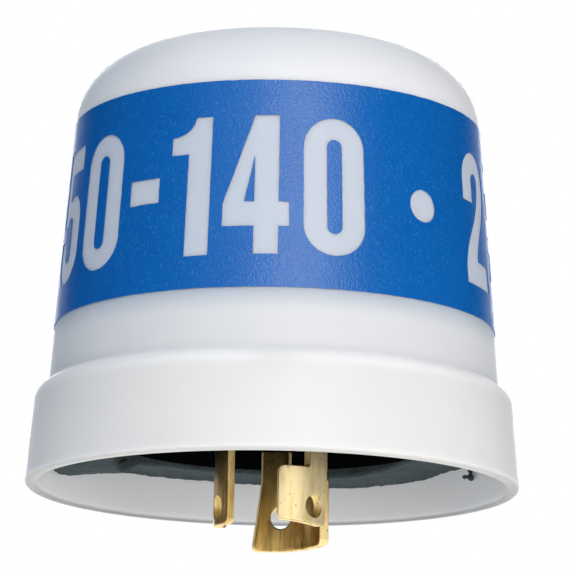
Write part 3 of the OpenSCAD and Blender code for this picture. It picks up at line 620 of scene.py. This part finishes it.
gasketTree, gasketIn = startTree(
    "foamRing", Int=("Segments", "Sides"),
    Float=("Inside radius", "Outside radius", "Thickness", "Edge round", "Fray", "Fray grain", "Wave",
           "Wave grain", "Creep span", "Seed"))
wide = addNode(gasketTree, "ShaderNodeMath", {
    0: gasketIn["Outside radius"], 1: gasketIn["Inside radius"]}, operation="SUBTRACT")
sumRadii = addNode(gasketTree, "ShaderNodeMath", {
    0: gasketIn["Outside radius"], 1: gasketIn["Inside radius"]})
middleRadius = addNode(gasketTree, "ShaderNodeMath", {0: sumRadii, 1: 0.5}, operation="MULTIPLY")
block = addNode(gasketTree, "GeometryNodeCurvePrimitiveQuadrilateral", {
    "Width": wide, "Height": gasketIn["Thickness"]})
eased = addNode(gasketTree, "GeometryNodeFilletCurve", {
    "Curve": block, "Radius": gasketIn["Edge round"], "Count": 4}, mode="POLY")
spaced = addNode(gasketTree, "GeometryNodeResampleCurve", {"Curve": eased, "Count": gasketIn["Sides"]})
loop = addNode(gasketTree, "GeometryNodeCurvePrimitiveCircle", {
    "Resolution": gasketIn["Segments"], "Radius": middleRadius})
ringMesh = addNode(gasketTree, "GeometryNodeCurveToMesh", {"Curve": loop, "Profile Curve": spaced})
halfUp = addNode(gasketTree, "ShaderNodeMath", {0: gasketIn["Thickness"], 1: 0.5}, operation="MULTIPLY")
liftUp = addNode(gasketTree, "ShaderNodeCombineXYZ", {2: halfUp})
raised = addNode(gasketTree, "GeometryNodeTransform", {"Geometry": ringMesh, "Translation": liftUp})
spot = addNode(gasketTree, "GeometryNodeInputPosition")
axes = addNode(gasketTree, "ShaderNodeSeparateXYZ", {0: spot}).outputs
around = addNode(gasketTree, "ShaderNodeMath", {0: axes["Y"], 1: axes["X"]}, operation="ARCTAN2")
share = addNode(gasketTree, "ShaderNodeMapRange", {
    "Value": around, "From Min": -math.pi, "From Max": math.pi, "To Min": -0.5, "To Max": 0.5})
turn = addNode(gasketTree, "ShaderNodeMath", {0: share}, operation="FRACT")
creepCurve = addNode(gasketTree, "ShaderNodeFloatCurve", {"Value": turn})
points = creepCurve.mapping.curves[0].points
creepList = [(a / 360, 0.5 + drop / (2 * gasketSettings["creepSpan"]))
             for a, drop in gasketSettings["creep"].items()]
points[0].location = creepList[0]
points[1].location = creepList[-1]
for where in creepList[1:-1]:
    points.new(*where)
creepCurve.mapping.update()
creep = addNode(gasketTree, "ShaderNodeMapRange", {"Value": creepCurve, "To Min": -1, "To Max": 1})
creepMm = addNode(gasketTree, "ShaderNodeMath", {0: creep, 1: gasketIn["Creep span"]}, operation="MULTIPLY")
loose = addNode(gasketTree, "ShaderNodeMapRange", {
    "Value": axes["Z"], "From Max": gasketIn["Thickness"], "To Min": 1, "To Max": 0})
sag = addNode(gasketTree, "ShaderNodeMath", {0: creepMm, 1: loose}, operation="MULTIPLY")
waveNoise = addNode(gasketTree, "ShaderNodeTexNoise", {
    "Vector": spot, "W": gasketIn["Seed"], "Scale": gasketIn["Wave grain"], "Detail": 1},
    noise_dimensions="4D")
waveLift = addNode(gasketTree, "ShaderNodeMapRange", {"Value": waveNoise, "To Min": -1, "To Max": 1})
waveLoose = addNode(gasketTree, "ShaderNodeMath", {0: waveLift, 1: loose}, operation="MULTIPLY")
waveMm = addNode(gasketTree, "ShaderNodeMath", {0: waveLoose, 1: gasketIn["Wave"]}, operation="MULTIPLY")
lower = addNode(gasketTree, "ShaderNodeMath", {0: sag, 1: waveMm})
frayNoise = addNode(gasketTree, "ShaderNodeTexNoise", {
    "Vector": spot, "W": gasketIn["Seed"], "Scale": gasketIn["Fray grain"], "Detail": 3},
    noise_dimensions="4D")
frayCentred = addNode(gasketTree, "ShaderNodeVectorMath", {
    0: frayNoise.outputs["Color"], 1: (0.5, 0.5, 0.5)}, operation="SUBTRACT")
fraySize = addNode(gasketTree, "ShaderNodeMath", {0: gasketIn["Fray"], 1: 2}, operation="MULTIPLY")
frayMm = addNode(gasketTree, "ShaderNodeVectorMath", {0: frayCentred, "Scale": fraySize}, operation="SCALE")
frayLoose = addNode(gasketTree, "ShaderNodeVectorMath", {0: frayMm, "Scale": loose}, operation="SCALE")
lowerVector = addNode(gasketTree, "ShaderNodeCombineXYZ", {2: lower})
shift = addNode(gasketTree, "ShaderNodeVectorMath", {0: frayLoose, 1: lowerVector})
crept = addNode(gasketTree, "GeometryNodeSetPosition", {"Geometry": raised, "Offset": shift})
endTree(gasketTree, crept, gasketIn["Material"])

gasketLow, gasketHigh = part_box("gasket")
gasket = runTree(addObject("foamGasket", bpy.data.meshes.new("seed")), gasketTree, {
    "Inside radius": gasketSettings["insideRadius"] * mm, "Outside radius": gasketHigh.x,
    "Thickness": gasketHigh.z - gasketLow.z, "Edge round": gasketSettings["edgeRound"] * mm,
    "Segments": gasketSettings["segments"], "Sides": gasketSettings["sides"],
    "Fray": gasketSettings["fray"] * mm, "Fray grain": perMetre(gasketSettings["frayGrain"]),
    "Wave": gasketSettings["wave"] * mm, "Wave grain": perMetre(gasketSettings["waveGrain"]),
    "Creep span": gasketSettings["creepSpan"] * mm, "Seed": gasketSettings["seed"], "Material": foamMaterial})
bm = openMesh(gasket.data)
for middle, size in gasketSettings["crumb"]:  # a torn tag of foam on the skirt's wall
    lump = bmesh.ops.create_icosphere(bm, subdivisions=3, radius=mm, matrix=Matrix.LocRotScale(
        Vector(middle) * mm, None, Vector(size)))
    for vertex in lump["verts"]:
        frayed = noise.noise_vector(vertex.co * perMetre(gasketSettings["crumbGrain"]))
        vertex.co += frayed * gasketSettings["crumbFray"] * mm
for face in bm.faces:
    face.smooth = True
closeMesh(bm, gasket.data)
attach(gasket, "root")
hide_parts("gasket")
print("gasket made:", len(gasket.data.polygons), "faces")


# Stamped brass: pale gold that mirrors softly, browned in streaks and pits where it is tarnished,
# duller where it was sheared, and dark along the eased burrs

brassFinishes = {
    "stampedBrassPolished": {
        "pale": "#f4e0ae", "brown": "#cba960", "from": 0.48, "to": 0.78, "shine": 0.34, "dull": 0.52},
    "stampedBrassTarnished": {
        "pale": "#d0ae68", "brown": "#755a32", "from": 0.38, "to": 0.66, "shine": 0.2, "dull": 0.34},
    "shearedBrassEdge": {
        "pale": "#f3dca0", "brown": "#c49c52", "from": 0.46, "to": 0.74, "shine": 0.5, "dull": 0.64},
    # a darker brass on the eased edges
    "darkBrassBurr": {
        "pale": "#a98d52", "brown": "#57431f", "from": 0.36, "to": 0.62, "shine": 0.36, "dull": 0.5}}
brassLook = {
    "stainGrain": 1.6, "drawn": 0.16, "pit": "#5a4320", "pitGrain": 1.3, "pitFull": 0.06, "pitEnd": 0.16,
    "pitShare": 0.7, "rollGrain": 0.5, "scuff": 0.1, "scuffDepth": 0.03}
brassMaterials = {}
for name, finish in brassFinishes.items():
    material, tree, shader, place = startMaterial(name, Metallic=1, Roughness=finish["dull"])
    drawn = addNode(tree, "ShaderNodeMapping", {"Vector": place, "Scale": (1, 1, brassLook["drawn"])})
    stain = addNode(tree, "ShaderNodeTexNoise", {
        "Vector": drawn, "Scale": perMetre(brassLook["stainGrain"]), "Detail": 4, "Roughness": 0.6})
    stained = addNode(tree, "ShaderNodeMapRange", {
        "Value": stain, "From Min": finish["from"], "From Max": finish["to"]})
    metal = addNode(tree, "ShaderNodeMix", {
        0: stained, 6: linear(finish["pale"]), 7: linear(finish["brown"])}, data_type="RGBA")
    specks = addNode(tree, "ShaderNodeTexVoronoi", {
        "Vector": place, "Scale": perMetre(brassLook["pitGrain"])})
    pit = addNode(tree, "ShaderNodeMapRange", {
        "Value": specks, "From Min": brassLook["pitFull"], "From Max": brassLook["pitEnd"],
        "To Min": brassLook["pitShare"], "To Max": 0})
    pitted = addNode(tree, "ShaderNodeMix", {
        0: pit, 6: metal, 7: linear(brassLook["pit"])}, data_type="RGBA")
    dull = addNode(tree, "ShaderNodeMapRange", {
        "Value": stain, "To Min": finish["shine"], "To Max": finish["dull"]})
    rolled = addNode(tree, "ShaderNodeTexNoise", {
        "Vector": place, "Scale": perMetre(brassLook["rollGrain"]), "Detail": 3})
    scuffed = addNode(tree, "ShaderNodeBump", {
        "Height": rolled, "Strength": brassLook["scuff"], "Distance": brassLook["scuffDepth"] * mm})
    feed(shader, Base_Color=pitted, Roughness=dull, Normal=scuffed)
    brassMaterials[name] = material

# Blades: flat stampings with eased edges, rolled to the plug's circle, each with a foot folded over the base

bladeSettings = {
    "radius": 9.2, "thickness": 1.5, "edge": 0.16, "stemSpan": 31, "toeDrop": 4, "toeRound": 0.9,
    "notchRound": 0.5, "tipRise": 0.45, "tipShare": 0.27, "hole": 3.5, "holeDrop": 10, "holeLag": 22,
    "holePoints": 48, "footTop": 7.9, "footReach": 18, "footWidth": 5.8, "footLap": 1, "rivetPlace": 13,
    "rivetHole": 3.3, "rivetPoints": 24, "cornerSteps": 6, "strip": 0.22, "footStrip": 40, "sharpAngle": 35,
    "shearedBelow": 0.5, "burrBelow": 0.93}
blades = {
    "neutral_blade": {"trail": 101, "span": 90, "drop": 15.4, "flare": 1.4, "crease": 7.1, "lean": 0.5,
                      "finish": "stampedBrassTarnished"},
    "line_blade": {"trail": 221, "span": 65, "drop": 12.9, "flare": 0, "crease": 7.1, "lean": 0,
                   "finish": "stampedBrassTarnished"},
    "load_blade": {"trail": 341, "span": 65, "drop": 12.9, "flare": 0, "crease": 3.6, "lean": -2.5,
                   "finish": "stampedBrassPolished"}}


def rounded(corners, steps):
    # an outline from corners given as x, y and the round there
    points = []
    count = len(corners)
    for i, (x, y, size) in enumerate(corners):
        corner = Vector((x, y))
        if size == 0:
            points.append((x, y))
            continue
        before = (Vector(corners[i - 1][:2]) - corner).normalized()
        after = (Vector(corners[(i + 1) % count][:2]) - corner).normalized()
        half = before.angle(after) / 2
        reach = size / math.tan(half)
        first, last = corner + before * reach, corner + after * reach
        middle = corner + (before + after).normalized() * size / math.sin(half)
        for k in range(steps + 1):
            leg = first.lerp(last, k / steps) - middle
            points.append(tuple(middle + leg.normalized() * size))
    return points


def makeBlade(name, s, b):
    middle = s["radius"] - s["thickness"] / 2
    unit = math.pi / 180 * middle
    stem = -s["stemSpan"] * unit
    toe = -b["span"] * unit
    r = s["toeRound"]
    top = s["footTop"] - s["thickness"] / 2
    blank = rounded([
        (0, top, 0), (stem, top, 0), (stem, -s["toeDrop"], s["notchRound"]), (toe, -s["toeDrop"], r),
        (toe, s["tipRise"] - b["drop"], r), (toe * s["tipShare"], -b["drop"], 0), (b["flare"], -b["drop"], r),
        (0, -s["toeDrop"], 0)], s["cornerSteps"])
    hole = circle(-s["holeLag"] * unit, -s["holeDrop"], s["hole"] / 2, s["holePoints"])
    flat = flatPiece(name + "Stamping", [blank, hole], s["thickness"], s["edge"], s["strip"], [-b["crease"]])
    piece = runTree(flat, wrapTree, {
        "Wall radius": middle * mm, "Wall height": 0.0, "Slope": 0.0, "Roll radius": middle * mm,
        "Start angle": math.radians(b["trail"]), "Material": brassMaterials[b["finish"]]})
    piece.data.materials.append(brassMaterials["shearedBrassEdge"])
    piece.data.materials.append(brassMaterials["darkBrassBurr"])
    for polygon in piece.data.polygons:
        outward = abs(polygon.center.xy.normalized().dot(polygon.normal.xy))
        polygon.material_index = 1 if outward < s["shearedBelow"] else 2 if outward < s["burrBelow"] else 0
    leanOut = math.tan(math.radians(b["lean"])) / s["radius"]
    for vertex in piece.data.vertices:
        below = max(0, -b["crease"] - vertex.co.z / mm)  # the stamping leans out below its crease
        vertex.co.xy *= 1 + below * leanOut
    side = s["footWidth"] / 2
    inner = s["radius"] - s["thickness"] - s["footLap"]
    footBlank = [(inner, -side), (s["footReach"], -side), (s["footReach"], side), (inner, side)]
    rivetHole = circle(s["rivetPlace"], 0, s["rivetHole"] / 2, s["rivetPoints"])
    foot = flatPiece(name + "Foot", [footBlank, rivetHole], s["thickness"], s["edge"], s["footStrip"])
    foot.data.transform(Matrix.Rotation(math.radians(b["trail"] - s["stemSpan"] / 2), 4, "Z")
                        @ Matrix.Translation((0, 0, top * mm)))
    bm = openMesh(piece.data)
    bm.from_mesh(foot.data)
    closeMesh(bm, piece.data)
    bpy.data.objects.remove(foot)
    for polygon in piece.data.polygons:
        polygon.use_smooth = True
    sharpen(piece, s["sharpAngle"])
    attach(piece, "root")
    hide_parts(name)
    return piece


for name, blade in blades.items():
    piece = makeBlade(name, bladeSettings, blade)
    print("blade rolled:", name, len(piece.data.polygons), "faces")


# Finishes of the base and the sealed pieces: two tones, the grain between them and the roughness at each

sealedFinishes = {
    "blackPhenolicMoulded": {  # near black, dull, with a faint mineral fleck; partly the phenolic's own black, partly painted shade: darker than the bare material and with no gloss, so the recess round the base reads as shadow
        "tones": ("#020203", "#060707"), "grain": 0.6, "rough": (0.72, 0.9),
        "sockets": {"IOR": 1.55, "Specular_IOR_Level": 0}, "pieces": ["base_plate"]},
    "stampedBrassNew": {  # warm gold that mirrors softly
        "tones": ("#e0bd6c", "#c79c4a"), "grain": 1.5, "rough": (0.28, 0.4), "sockets": {"Metallic": 1},
        "pieces": ["blade_rivets", "line_bracket", "load_bracket", "arm_rivets", "calibration_screw"]},
    "rolledBimetalStrip": {  # a grey sheen with the roll's grain
        "tones": ("#b9b6b0", "#8f8c86"), "grain": 0.8, "rough": (0.3, 0.45), "sockets": {"Metallic": 1},
        "pieces": ["heated_bimetal", "compensating_bimetal"]},
    "silverAlloyContact": {  # pale and bright
        "tones": ("#dcdcda", "#b4b2ae"), "grain": 0.7, "rough": (0.25, 0.4), "sockets": {"Metallic": 1},
        "pieces": ["moving_contact", "fixed_contact"]},
    "mouldedCarbonBody": {  # brown with an eggshell skin
        "tones": ("#6b4128", "#4a2b1a"), "grain": 0.5, "rough": (0.45, 0.65),
        "pieces": ["heater_resistor"]},
    "tinnedCopperWire": {  # silvery and a little clouded
        "tones": ("#cfcfcc", "#a3a29e"), "grain": 0.6, "rough": (0.25, 0.42), "sockets": {"Metallic": 1},
        "pieces": ["heater_leads", "photocell_leads", "lead_splice", "arrester_leads"]},
    "naturalNylonMoulded": {  # cream and waxy
        "tones": ("#e6e2d6", "#d8d2c2"), "grain": 3, "rough": (0.4, 0.55),
        "pieces": ["cell_holder"]},
    "coatedCellCeramic": {  # amber under a clear glaze
        "tones": ("#c9a36a", "#a9743c"), "grain": 0.9, "rough": (0.2, 0.35),
        "pieces": ["photocell"]},
    "blueEpoxyDip": {  # glossy blue lacquer
        "tones": ("#2b5a92", "#1d4474"), "grain": 2, "rough": (0.15, 0.3),
        "pieces": ["surge_arrester"]}}
for name, finish in sealedFinishes.items():
    light, dark = finish["tones"]
    shine, dull = finish["rough"]
    material, tree, shader, place = startMaterial(name, Roughness=dull, **finish.get("sockets", {}))
    grain = addNode(tree, "ShaderNodeTexNoise", {
        "Vector": place, "Scale": perMetre(finish["grain"]), "Detail": 4})
    mixed = addNode(tree, "ShaderNodeMix", {0: grain, 6: linear(light), 7: linear(dark)}, data_type="RGBA")
    worn = addNode(tree, "ShaderNodeMapRange", {"Value": grain, "To Min": shine, "To Max": dull})
    feed(shader, Base_Color=mixed, Roughness=worn)
    for piece in finish["pieces"]:
        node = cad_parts[piece]
        node.data.materials.clear()
        node.data.materials.append(material)
print("base and sealed pieces dressed")


# Studio: white surround, pale floor well below, soft lamps, and black flags that deepen the edges

studioSettings = {
    "floorDrop": 170, "floorRadius": 4000, "floorPoints": 48, "floorTone": "#f1f1ef", "fadeStart": 150,
    "fadeEnd": 900, "glow": 0.5, "ambient": 0.22, "ambientTone": "#d8eaff", "flagTone": "#1a1a1b",
    "flagAway": 2500, "flagLow": 150, "flagHigh": 3200, "flagFrom": 42, "flagTo": 150, "flagStep": 6,
    "aim": 25,
    "lamps": {
        "keyLamp": {"turn": 12.6, "rise": 20, "away": 900, "width": 560, "height": 260, "radiance": 8.9,
                    "tone": "#fff8f0"},
        "lowLamp": {"turn": 40, "rise": -10, "away": 700, "width": 500, "height": 120, "radiance": 4.2,
                    "tone": "#fffaf4"},
        "tableLamp": {"turn": 0, "rise": -90, "away": 185, "width": 700, "height": 700, "radiance": 0.6,
                      "tone": "#f6f9ff"},
        "topLamp": {"turn": -45, "rise": 60, "away": 900, "width": 500, "height": 500, "radiance": 2.3,
                    "tone": "#dcecff"},
        "backLamp": {"turn": 180, "rise": 14, "away": 900, "width": 500, "height": 500, "radiance": 6,
                     "tone": "#f4f8ff"}}}


def seenDirectly(tree):
    # 1 where the camera, a gloss or a clear piece looks, 0 for light that falls on a surface
    path = addNode(tree, "ShaderNodeLightPath").outputs
    seen = addNode(tree, "ShaderNodeMath", {
        0: path["Is Camera Ray"], 1: path["Is Glossy Ray"]}, operation="MAXIMUM")
    return addNode(tree, "ShaderNodeMath", {0: seen, 1: path["Is Transmission Ray"]}, operation="MAXIMUM")


world = bpy.data.worlds.new("whiteSurround")
scene.world = world
world.use_nodes = True
tree = world.node_tree
tree.nodes.clear()
white = addNode(tree, "ShaderNodeBackground", {"Color": (1, 1, 1, 1), "Strength": 1})
soft = addNode(tree, "ShaderNodeBackground", {
    "Color": linear(studioSettings["ambientTone"]), "Strength": studioSettings["ambient"]})
either = addNode(tree, "ShaderNodeMixShader", {0: seenDirectly(tree), 1: soft, 2: white})
addNode(tree, "ShaderNodeOutputWorld", {"Surface": either})

# Pale floor paint: matt and nearly white, fading into the surround further out

floorMaterial, tree, shader, place = startMaterial(
    "paleFloorPaint", Roughness=0.9, Base_Color=linear(studioSettings["floorTone"]))
flat = addNode(tree, "ShaderNodeVectorMath", {0: place, 1: (1, 1, 0)}, operation="MULTIPLY")
distance = addNode(tree, "ShaderNodeVectorMath", {0: flat}, operation="LENGTH")
fadeOut = addNode(tree, "ShaderNodeMapRange", {
    "Value": distance, "From Min": studioSettings["fadeStart"] * mm,
    "From Max": studioSettings["fadeEnd"] * mm, "To Min": studioSettings["glow"]},
    interpolation_type="SMOOTHSTEP")
direct = addNode(tree, "ShaderNodeMath", {0: seenDirectly(tree), 1: fadeOut}, operation="MULTIPLY")
glow = addNode(tree, "ShaderNodeEmission", {"Color": (1, 1, 1, 1), "Strength": 1})
mixed = addNode(tree, "ShaderNodeMixShader", {0: direct, 1: shader, 2: glow})
output = next(n for n in tree.nodes if n.type == "OUTPUT_MATERIAL")
tree.links.new(mixed.outputs[0], output.inputs["Surface"])

floorMesh = bpy.data.meshes.new("floor")
floorRing = circle(0, 0, studioSettings["floorRadius"], studioSettings["floorPoints"])
floorMesh.from_pydata([(x * mm, y * mm, -studioSettings["floorDrop"] * mm) for x, y in floorRing], [],
                      [list(range(len(floorRing)))])
floorMesh.materials.append(floorMaterial)
addObject("floor", floorMesh)

# Black flag cloth: dull black that only gloss sees

flagMaterial = startMaterial("blackFlagCloth", Roughness=0.9, Specular_IOR_Level=0,
                             Base_Color=linear(studioSettings["flagTone"]))[0]
flagMesh = bpy.data.meshes.new("sideFlags")
flagCorners = []
flagFaces = []
flagAway = studioSettings["flagAway"]
flagTurns = range(studioSettings["flagFrom"], studioSettings["flagTo"] + 1, studioSettings["flagStep"])
for side in (1, -1):
    for flagTurn in flagTurns:
        a = math.radians(90 + side * flagTurn)
        x, y = math.cos(a) * flagAway * mm, -math.sin(a) * flagAway * mm
        flagCorners += [(x, y, studioSettings[edge] * mm) for edge in ("flagLow", "flagHigh")]
        first = len(flagCorners) - 4
        if flagTurn != flagTurns[0]:
            flagFaces.append((first, first + 1, first + 3, first + 2))
flagMesh.from_pydata(flagCorners, [], flagFaces)
flagMesh.materials.append(flagMaterial)
flags = addObject("sideFlags", flagMesh)
flags.visible_camera = False
flags.visible_diffuse = False
flags.visible_shadow = False

aim = Vector((0, 0, studioSettings["aim"] * mm))
for name, lamp in studioSettings["lamps"].items():
    data = bpy.data.lights.new(name, "AREA")
    data.shape = "RECTANGLE"
    data.size = lamp["width"] * mm
    data.size_y = lamp["height"] * mm
    data.color = linear(lamp["tone"])[:3]
    data.energy = lamp["radiance"] * math.pi * data.size * data.size_y
    turn, rise = math.radians(lamp["turn"]), math.radians(lamp["rise"])
    toLamp = Vector((math.sin(turn) * math.cos(rise), -math.cos(turn) * math.cos(rise), math.sin(rise)))
    lampObject = addObject(name, data)
    lampObject.location = aim + toLamp * lamp["away"] * mm
    lampObject.rotation_euler = (-toLamp).to_track_quat("-Z", "Y").to_euler()
    lampObject.visible_camera = False
print("studio lit")
